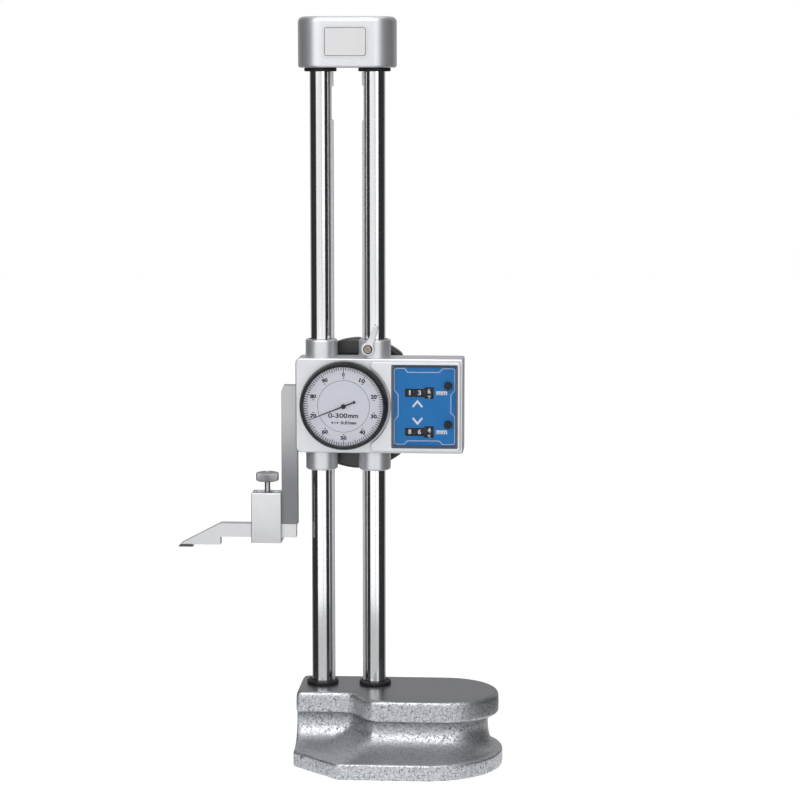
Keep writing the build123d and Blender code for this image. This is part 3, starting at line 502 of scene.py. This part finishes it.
# The base with every edge softened as a sand casting's are, its upper flange most of all
def softCasting():
    copy = addObject("castCopy", meshData("castCopy", nodeMesh("base_casting", closeness["node"])))
    remesh = copy.modifiers.new("remesh", "REMESH")
    remesh.mode = "VOXEL"
    remesh.voxel_size = cast["voxel"]
    data = bpy.data.meshes.new_from_object(copy.evaluated_get(bpy.context.evaluated_depsgraph_get()))
    bpy.data.objects.remove(copy)
    mesh = bmesh.new()
    mesh.from_mesh(data)
    bpy.data.meshes.remove(data)
    low, high = boxOf("base_casting")
    middle = high.z - hammer["flangeThick"] / 2
    for turn in range(cast["rounds"] + cast["flangeRounds"]):
        verts = mesh.verts if turn < cast["rounds"] else [v for v in mesh.verts if v.co.z > middle]
        bmesh.ops.smooth_vert(mesh, verts=verts, factor=cast["softness"],
                              use_axis_x=True, use_axis_y=True, use_axis_z=True)
    for vert in mesh.verts:
        vert.co = [min(max(place, least), most) for place, least, most in zip(vert.co, low, high)]
    piece = makePiece("softCasting", mesh, "hammertone", "base", cast["sharp"])
    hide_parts("base_casting")


softCasting()
print("base done")


# Pairs are how far in from the nose or the bore, and how far back
bezel = {"notches": 108, "stepsPerNotch": 5, "depth": 0.6 * mm, "notchShare": 0.3, "knurlReach": 0.8 * mm,
         "wall": 3.2 * mm, "foot": 0.5 * mm, "taper": 0.9 * mm, "shoulder": 1.3 * mm,
         "edge": (0.5 * mm, 0.45 * mm), "face": 0.95 * mm, "inner": 0.7 * mm,
         "innerEdge": (0.2 * mm, 0.25 * mm), "lip": 1.2 * mm, "sharp": 28}


def knurledBezel():
    low, high = boxOf("dial_bezel")
    outer = (high.x - low.x) / 2
    bore = outer - bezel["wall"]
    front = high.y - low.y
    nose = outer - bezel["taper"]
    centre = middleOf("dial_bezel")
    edge, innerEdge = bezel["edge"], bezel["innerEdge"]
    profile = [(bore, 0), (outer - bezel["foot"], 0), (outer, bezel["foot"]), (nose, front - bezel["shoulder"]),
               (nose - edge[0], front - edge[1]), (nose - bezel["face"], front), (bore + bezel["inner"], front),
               (bore + innerEdge[0], front - innerEdge[1]), (bore, front - bezel["lip"])]
    mesh = spun(profile, bezel["notches"] * bezel["stepsPerNotch"], closed=True)
    bmesh.ops.remove_doubles(mesh, verts=mesh.verts, dist=closeness["fine"])
    knurl(mesh, nose - bezel["knurlReach"], bezel)
    faceFront(mesh, (centre.x, high.y, centre.z))
    piece = makePiece("knurledBezel", mesh, "blackPlastic", "bezel", bezel["sharp"])
    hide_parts("dial_bezel")


# Pairs are (width, height), but numberWidths are those of the 0 and of the others.
# Shifts are to the right of the dial's middle, drops below it.
dial = {"divisions": 100, "tickOuter": 26.0 * mm, "ticks": (2.4 * mm, 3.1 * mm, 3.7 * mm),
        "tickWidth": 0.42 * mm, "numberRadius": 20.7 * mm, "numberHeight": 2.7 * mm,
        "numberWidths": (1.7 * mm, 3.9 * mm),
        "bold": 0.17 * mm, "tilts": {10: 18, 90: -18}, "markDrop": 2.25 * mm, "mark": (1.1 * mm, 0.55 * mm),
        "circleRadius": 16.9 * mm, "circleWidth": 0.22 * mm, "circleSteps": 96, "proud": 0.03 * mm,
        "rangeDrop": 6.1 * mm, "range": (12.6 * mm, 3.1 * mm), "rangeShift": -3.7 * mm, "rangeBold": 0.10 * mm,
        "rangeUnit": (6.4 * mm, 2.2 * mm), "unitShift": 6.3 * mm,
        "stepDrop": 10.8 * mm, "step": (5.6 * mm, 2.1 * mm), "stepShift": 1.0 * mm, "stepBold": 0.12 * mm,
        "stepUnit": (4.2 * mm, 1.5 * mm), "stepUnitDrop": 0.3 * mm, "stepUnitBold": 0.1 * mm,
        "arrowsShift": -5.6 * mm}


def dialPrint():
    centre = middleOf("dial_face")
    front = boxOf("dial_face")[0].y
    thick = dial["proud"]
    at = front - thick / 2
    mesh = bmesh.new()
    for k in range(dial["divisions"]):
        turn = 2 * pi * k / dial["divisions"]
        length = dial["ticks"][2 if k % 10 == 0 else 1 if k % 5 == 0 else 0]
        radius = dial["tickOuter"] - length / 2
        addBar(mesh, (centre.x + sin(turn) * radius, at, centre.z + cos(turn) * radius),
               (dial["tickWidth"], thick, length), turn)
    for k in range(0, dial["divisions"], 10):
        turn = 2 * pi * k / dial["divisions"]
        x, z = centre.x + sin(turn) * dial["numberRadius"], centre.z + cos(turn) * dial["numberRadius"]
        addText(mesh, str(k), dial["numberHeight"], dial["numberWidths"][k > 0], (x, at, z), dial["bold"],
                thick, radians(dial["tilts"].get(k, 0)))
        drop = dial["markDrop"] if cos(turn) > 0 else -dial["markDrop"]
        addBar(mesh, (x, at, z - drop), (dial["mark"][0], thick, dial["mark"][1]))
    turns = [2 * pi * k / dial["circleSteps"] for k in range(dial["circleSteps"])]
    ring = [(centre.x + dial["circleRadius"] * cos(turn), centre.z + dial["circleRadius"] * sin(turn))
            for turn in turns]
    addStroke(mesh, ring, dial["circleWidth"], front - thick, thick, closed=True)
    z = centre.z - dial["rangeDrop"]
    wide, high = dial["range"]
    addText(mesh, "0-300", high, wide, (centre.x + dial["rangeShift"], at, z), dial["rangeBold"], thick)
    unitWide, unitHigh = dial["rangeUnit"]
    addText(mesh, "mm", unitHigh, unitWide, (centre.x + dial["unitShift"], at, z - (high - unitHigh) / 2),
            dial["rangeBold"], thick)
    z = centre.z - dial["stepDrop"]
    wide, high = dial["step"]
    addText(mesh, "0.01", high, wide, (centre.x + dial["stepShift"], at, z), dial["stepBold"], thick)
    unitWide, unitHigh = dial["stepUnit"]
    addText(mesh, "mm", unitHigh, unitWide, (centre.x + dial["unitShift"], at, z - dial["stepUnitDrop"]),
            dial["stepUnitBold"], thick)
    addArrows(mesh, centre.x + dial["arrowsShift"], z, front, thick)
    makePiece("dialPrint", mesh, "ink", "bezel")


arrows = {"markPlace": 0.35 * mm, "mark": (0.24 * mm, 1.7 * mm), "tip": 0.75 * mm, "tail": 2.6 * mm,
          "line": 0.42 * mm, "lineStart": 1.0 * mm, "head": (1.2 * mm, 0.8 * mm)}


# Two arrows that meet at a pair of division marks
def addArrows(mesh, x, z, front, thick):
    for side in (-1, 1):
        addBar(mesh, (x + side * arrows["markPlace"], front - thick / 2, z),
               (arrows["mark"][0], thick, arrows["mark"][1]))
        tip = x + side * arrows["tip"]
        back = tip + side * arrows["head"][0]
        addStroke(mesh, [(x + side * arrows["tail"], z), (tip + side * arrows["lineStart"], z)],
                  arrows["line"], front - thick, thick)
        corners = ((tip, z), (back, z + arrows["head"][1]), (back, z - arrows["head"][1]))
        head = [mesh.verts.new((px, front - thick, pz)) for px, pz in corners]
        thicken(mesh, [mesh.faces.new(head)], thick)


knurledBezel()
dialPrint()
print("dial done")


# Each counter's digits at rest, and the degrees by which a wheel stands past its digit
counter = {"height": 3.2 * mm, "width": 2.1 * mm, "oneShare": 0.5, "bold": 0.09 * mm, "lift": 0.03 * mm,
           "cuts": 7, "cutGap": 0.0001 * mm, "step": 36, "up": {"shown": (1, 3, 6), "raised": (0, 0, 8)},
           "down": {"shown": (8, 6, 4), "raised": (0, 0, 8)}}


# Ten digits wrapped round one wheel; at rest it shows its digit of the reading
def wheelDigits(name, place, placeName):
    low, high = boxOf(f"{name}_counter_{placeName}_wheel")
    centre = (low + high) / 2
    radius = (high.z - low.z) / 2
    reach = counter["height"] / 2
    mesh = bmesh.new()
    for digit in range(10):
        one = bmesh.new()
        width = counter["width"] * (counter["oneShare"] if digit == 1 else 1)
        addText(one, str(digit), counter["height"], width, (0, 0, 0), counter["bold"], counter["lift"] * 2)
        for cut in range(1, counter["cuts"]):
            level = -reach + 2 * reach * cut / counter["cuts"]
            bmesh.ops.bisect_plane(one, geom=one.verts[:] + one.edges[:] + one.faces[:],
                                   dist=counter["cutGap"], plane_co=(0, 0, level), plane_no=(0, 0, 1))
        past = counter[name]["shown"][place] - digit
        turn = radians(past * counter["step"] + counter[name]["raised"][place])
        for vert in one.verts:
            angle = turn + vert.co.z / radius
            out = radius - vert.co.y
            vert.co = (centre.x + vert.co.x, centre.y - out * cos(angle), centre.z + out * sin(angle))
        data = meshData("digit", one)
        mesh.from_mesh(data)
        bpy.data.meshes.remove(data)
    makePiece(f"{name}{placeName.capitalize()}Digits", mesh, "whitePrint", f"{name}_{placeName}")


for counterName in ("up", "down"):
    for place, placeName in enumerate(("hundreds", "tens", "units")):
        wheelDigits(counterName, place, placeName)

# The outline's places are shares of the window, from its left and top
plate = {"line": 0.36 * mm, "outer": (0.042, 0.953, 0.044, 0.956), "inner": (0.10, 0.895, 0.09, 0.914),
         "across": (0.198, 0.242, 0.719, 0.772), "rightDown": (0.305, 0.36, 0.575, 0.62),
         "leftDown": (0.305, 0.36, 0.62, 0.67), "corner": 1.5 * mm, "cornerSoft": 0.3, "proud": 0.03 * mm,
         "chevronX": -1.2 * mm, "chevronHalf": 3.1 * mm, "chevronRise": 3.7 * mm, "chevronWidth": 1.25 * mm,
         "chevronPlace": 3.6 * mm, "unit": (7.0 * mm, 2.6 * mm), "unitRight": 14.6 * mm, "bold": 0.16 * mm}


def platePrint():
    low, high = boxOf("counter_window")
    proud = plate["proud"]
    front = boxOf("counter_plate")[0].y - proud
    width, height = high.x - low.x, high.z - low.z
    left, right, top, bottom = plate["outer"]
    inLeft, inRight, inTop, inBottom = plate["inner"]
    a, b, c, d = plate["across"]
    rightDown, leftDown = plate["rightDown"], plate["leftDown"]
    x, z = plate["corner"] / width, plate["corner"] / height
    softX, softZ = x * plate["cornerSoft"], z * plate["cornerSoft"]
    shares = [(left, top + z), (left + softX, top + softZ), (left + x, top),
              (a, top), (b, inTop), (c, inTop), (d, top),
              (right - x, top), (right - softX, top + softZ), (right, top + z),
              (right, rightDown[0]), (inRight, rightDown[1]), (inRight, rightDown[2]), (right, rightDown[3]),
              (right, bottom - z), (right - softX, bottom - softZ), (right - x, bottom),
              (d, bottom), (c, inBottom), (b, inBottom), (a, bottom),
              (left + x, bottom), (left + softX, bottom - softZ), (left, bottom - z),
              (left, leftDown[3]), (inLeft, leftDown[2]), (inLeft, leftDown[1]), (left, leftDown[0])]
    mesh = bmesh.new()
    outline = [(low.x + across * width, high.z - down * height) for across, down in shares]
    addStroke(mesh, outline, plate["line"], front, proud, closed=True)
    upper, lower = middleOf("up_counter_tens_wheel"), middleOf("down_counter_tens_wheel")
    x, half = upper.x + plate["chevronX"], plate["chevronHalf"]
    for side in (-1, 1):
        z = (upper.z + lower.z) / 2 + side * plate["chevronPlace"]
        addStroke(mesh, [(x - half, z), (x, z + side * plate["chevronRise"]), (x + half, z)],
                  plate["chevronWidth"], front, proud)
    for spot in (upper, lower):
        addText(mesh, "mm", plate["unit"][1], plate["unit"][0],
                (spot.x + plate["unitRight"], front + proud / 2, spot.z), plate["bold"], proud)
    makePiece("platePrint", mesh, "whitePrint", "slider")


rim = {"width": 1.5 * mm, "thick": 0.5 * mm, "proud": 0.15 * mm, "slope": 0.8, "sharp": 20}


# Dark bevelled frame round the window, a little proud of its pane
def windowRim():
    low, high = boxOf("counter_window")
    front = low.y - rim["proud"]
    inset = rim["width"] / 2
    left, right, bottom, top = low.x + inset, high.x - inset, low.z + inset, high.z - inset
    mesh = bmesh.new()
    addStroke(mesh, [(left, bottom), (right, bottom), (right, top), (left, top)], rim["width"], front,
              rim["thick"], closed=True)
    inner = [v for v in mesh.verts if abs(v.co.y - front) < closeness["plane"]
             and left < v.co.x < right and bottom < v.co.z < top]
    bmesh.ops.translate(mesh, verts=inner, vec=(0, rim["thick"] * rim["slope"], 0))
    makePiece("windowRim", mesh, "blackChrome", "slider", rim["sharp"])


pane = {"gap": 0.12 * mm}


# The pane, a hair's breadth off the plate behind it
def windowPane():
    mesh = nodeMesh("counter_window", closeness["node"])
    back = boxOf("counter_window")[1].y
    rear = [v for v in mesh.verts if v.co.y > back - closeness["plane"]]
    bmesh.ops.translate(mesh, verts=rear, vec=(0, -pane["gap"], 0))
    piece = makePiece("windowPane", mesh, "clear", "slider")
    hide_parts("counter_window")


platePrint()
windowRim()
windowPane()
print("counters and plate done")


label = {"line": 0.32 * mm, "inset": 1.4 * mm, "corner": 1.2 * mm, "cornerSoft": 0.3, "proud": 0.03 * mm,
         "plateBehind": 0.2 * mm}  # how far the plate lies behind the foremost point of its node


# A thin frame round a bare plate
def labelPrint():
    low, high = boxOf("cap_label")
    front = low.y + label["plateBehind"] - label["proud"]
    inset, corner = label["inset"], label["corner"]
    soft = corner * label["cornerSoft"]
    left, right, bottom, top = low.x + inset, high.x - inset, low.z + inset, high.z - inset
    mesh = bmesh.new()
    addStroke(mesh, [(left, bottom + corner), (left + soft, bottom + soft), (left + corner, bottom),
                     (right - corner, bottom), (right - soft, bottom + soft), (right, bottom + corner),
                     (right, top - corner), (right - soft, top - soft), (right - corner, top),
                     (left + corner, top), (left + soft, top - soft), (left, top - corner)],
              label["line"], front, label["proud"], closed=True)
    makePiece("labelPrint", mesh, "ink", "base")


labelPrint()
print("cap label done")


# Steps of the outline are in mm: outwards, and up from the level that they belong to
thumb = {"notches": 56, "stepsPerNotch": 5, "depth": 0.35 * mm, "notchShare": 0.3, "knurlReach": 0.35 * mm,
         "headHeight": 5.7 * mm, "shank": 1.9 * mm, "tipShare": 0.7, "tipRise": 0.5 * mm,
         "neck": ((0, -0.9), (1.2, -0.6), (1.4, 0)), "headFoot": ((-0.9, 0), (-0.25, 0.35), (0, 0.8)),
         "headTop": ((0, -0.8), (-0.3, -0.3), (-1.0, 0)), "dish": (0.5, 0.46), "dishDepth": 0.3 * mm,
         "sharp": 28}


def knurledThumbScrew():
    low, high = boxOf("thumb_screw")
    centre = (low + high) / 2
    head, shank = (high.x - low.x) / 2, thumb["shank"]
    height = high.z - low.z
    neck = height - thumb["headHeight"]
    dish = height - thumb["dishDepth"]
    profile = [(0, 0), (shank * thumb["tipShare"], 0), (shank, thumb["tipRise"])]
    for steps, radius, level in (("neck", shank, neck), ("headFoot", head, neck), ("headTop", head, height)):
        profile += [(radius + out * mm, level + up * mm) for out, up in thumb[steps]]
    profile += [(head * thumb["dish"][0], height), (head * thumb["dish"][1], dish), (0, dish)]
    mesh = spun(profile, thumb["notches"] * thumb["stepsPerNotch"])
    bmesh.ops.remove_doubles(mesh, verts=mesh.verts, dist=closeness["node"])
    knurl(mesh, head - thumb["knurlReach"], thumb)
    bmesh.ops.translate(mesh, verts=mesh.verts, vec=(centre.x, centre.y, low.z))
    piece = makePiece("knurledThumbScrew", mesh, "steel", "thumb_screw", thumb["sharp"])
    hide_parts("thumb_screw")


softEdges = {"lever": 0.35 * mm, "clamp": 0.3 * mm, "flatter": 0.5, "angle": 25, "segments": 3, "sharp": 50}


# A CAD piece with its sharp edges rounded off
def softened(name, node, finish, body, width):
    mesh = nodeMesh(node, closeness["bevel"])
    bmesh.ops.dissolve_limit(mesh, angle_limit=radians(softEdges["flatter"]), verts=mesh.verts,
                             edges=mesh.edges)
    bends = [edge for edge in mesh.edges if len(edge.link_faces) == 2]
    corners = [edge for edge in bends if edge.calc_face_angle() > radians(softEdges["angle"])]
    bmesh.ops.bevel(mesh, geom=corners, offset=width, offset_type="OFFSET", segments=softEdges["segments"],
                    profile=0.5, affect="EDGES", clamp_overlap=True, material=-1)
    piece = makePiece(name, mesh, finish, body, softEdges["sharp"])
    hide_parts(node)


knurledThumbScrew()
softened("softLockLever", "lock_lever", "leverSteel", "lock", softEdges["lever"])
softened("softScriberClamp", "scriber_clamp", "groundWhite", "clamp", softEdges["clamp"])
print("thumb screw, lever and clamp done")


studio = {"azimuth": 5.0, "pitch": 9.0, "distance": 1.59, "focus": 0.190, "lens": 108.5, "sensor": 36,
          "aim": (0.034, 0, 0.2355), "floor": 8.0, "floorDrop": 0.0002, "floorColour": (0.9, 0.9, 0.9),
          "floorRough": 0.8, "floorGlow": 0.66, "white": 1.0, "fill": 0.30}
lamps = {
    "keyLeft": {"place": (-1.1, -1.6, 1.1), "aim": (0, 0, 0.2), "size": (0.9, 1.2), "watts": 7},
    "front": {"place": (0.2, -2.2, 0.7), "aim": (0, 0, 0.2), "size": (1.4, 1.4), "watts": 12,
              "only": "diffuse"},
    "fillRight": {"place": (1.0, -1.6, 0.8), "aim": (0, 0, 0.2), "size": (0.7, 1.2), "watts": 3},
    "topFront": {"place": (0.0, -0.95, 1.6), "aim": (0, 0, 0.15), "size": (1.4, 1.0), "watts": 17,
                 "only": "glossy"},
    "topBack": {"place": (0.1, 0.9, 1.5), "aim": (0, 0, 0.2), "size": (1.2, 0.8), "watts": 4},
}
# Angles run round the object from the front; a shade is how bright a wall looks in a mirror
walls = {"near": 0.17, "radius": 0.45, "height": 1.1, "foot": 0.001, "steps": 24, "open": 46.0, "back": 125.0,
         "sideShade": 0.035, "backShade": 0.40, "frontShade": 0.62, "lineTurn": 11.0, "lineWidth": 1.1,
         "lineBefore": 0.01}
white, black = (1, 1, 1), (0, 0, 0)


# 1 where the camera, a mirror or a pane looks straight at it, 0 where it only lights something
def seenBy(tree):
    rays = tree.nodes.new("ShaderNodeLightPath").outputs
    seen = Wire(tree, rays["Is Camera Ray"]).maths("MAXIMUM", Wire(tree, rays["Is Transmission Ray"]))
    return seen.maths("MAXIMUM", Wire(tree, rays["Is Glossy Ray"]))


def stagePiece(name, mesh, finish):
    data = meshData(name, mesh)
    data.materials.append(finish.material)
    thing = addObject(name, data)
    return thing


def paleFloor():
    mesh = bmesh.new()
    bmesh.ops.create_grid(mesh, x_segments=1, y_segments=1, size=studio["floor"] / 2)
    bmesh.ops.translate(mesh, verts=mesh.verts, vec=(0, 0, -studio["floorDrop"]))
    finish = Finish("floor", {"Base Color": studio["floorColour"], "Roughness": studio["floorRough"],
                              "Emission Color": white})
    finish.set("Emission Strength", seenBy(finish.tree) * studio["floorGlow"])
    stagePiece("floor", mesh, finish)


def whiteWorld():
    world = bpy.data.worlds.new("studio")
    bpy.context.scene.world = world
    world.use_nodes = True
    tree = world.node_tree
    background = tree.nodes["Background"].inputs
    plug(tree, background["Color"], white)
    plug(tree, background["Strength"], studio["fill"] + seenBy(tree) * (studio["white"] - studio["fill"]))


def softLamp(name, place, aim, size, watts, only=None):
    lamp = bpy.data.lights.new(name, "AREA")
    lamp.shape = "RECTANGLE"
    lamp.size, lamp.size_y = size
    lamp.energy = watts
    thing = addObject(name, lamp)
    thing.visible_diffuse = only != "glossy"
    thing.visible_glossy = only != "diffuse"
    thing.location = place
    thing.rotation_euler = (Vector(aim) - Vector(place)).to_track_quat("-Z", "Y").to_euler()


# Grey walls that only mirrors see: they stand on the floor round the object and are open to the front
def greyWall(name, first, last, shade, near=walls["near"], height=walls["height"]):
    profile = [(near, walls["foot"]), (walls["radius"], walls["foot"])]
    if height:
        profile.append((walls["radius"], height))
    mesh = spun(profile, walls["steps"], start=radians(first - 90), angle=radians(last - first))
    finish = Finish(name, {"Base Color": black, "Roughness": 1.0, "Specular IOR Level": 0.0,
                           "Emission Color": white, "Emission Strength": shade})
    thing = stagePiece(name, mesh, finish)
    thing.visible_camera = False
    thing.visible_diffuse = False
    thing.visible_shadow = False
    thing.visible_transmission = False


def placeCamera():
    turn, pitch = radians(studio["azimuth"]), radians(studio["pitch"])
    back = Vector((sin(turn) * cos(pitch), -cos(turn) * cos(pitch), sin(pitch)))
    place = Vector((0, 0, studio["focus"])) + back * studio["distance"]
    data = bpy.data.cameras.new("camera")
    data.lens = studio["lens"]
    data.sensor_width = studio["sensor"]
    camera = addObject("camera", data)
    camera.location = place
    camera.rotation_euler = (Vector(studio["aim"]) - place).to_track_quat("-Z", "Y").to_euler()
    bpy.context.scene.camera = camera


paleFloor()
whiteWorld()
for name, lamp in lamps.items():
    softLamp(name, **lamp)
greyWall("rightWall", walls["open"], walls["back"], walls["sideShade"])
greyWall("backWall", walls["back"], 360 - walls["back"], walls["backShade"])
greyWall("leftWall", 360 - walls["back"], 360 - walls["open"], walls["sideShade"])
greyWall("frontFloor", -walls["open"], walls["open"], walls["frontShade"], height=0.0)
greyWall("frontLine", walls["lineTurn"] - walls["lineWidth"], walls["lineTurn"] + walls["lineWidth"],
         walls["sideShade"], near=walls["radius"] - walls["lineBefore"])
placeCamera()
bpy.context.scene.view_settings.view_transform = "Standard"
print("light and camera done")
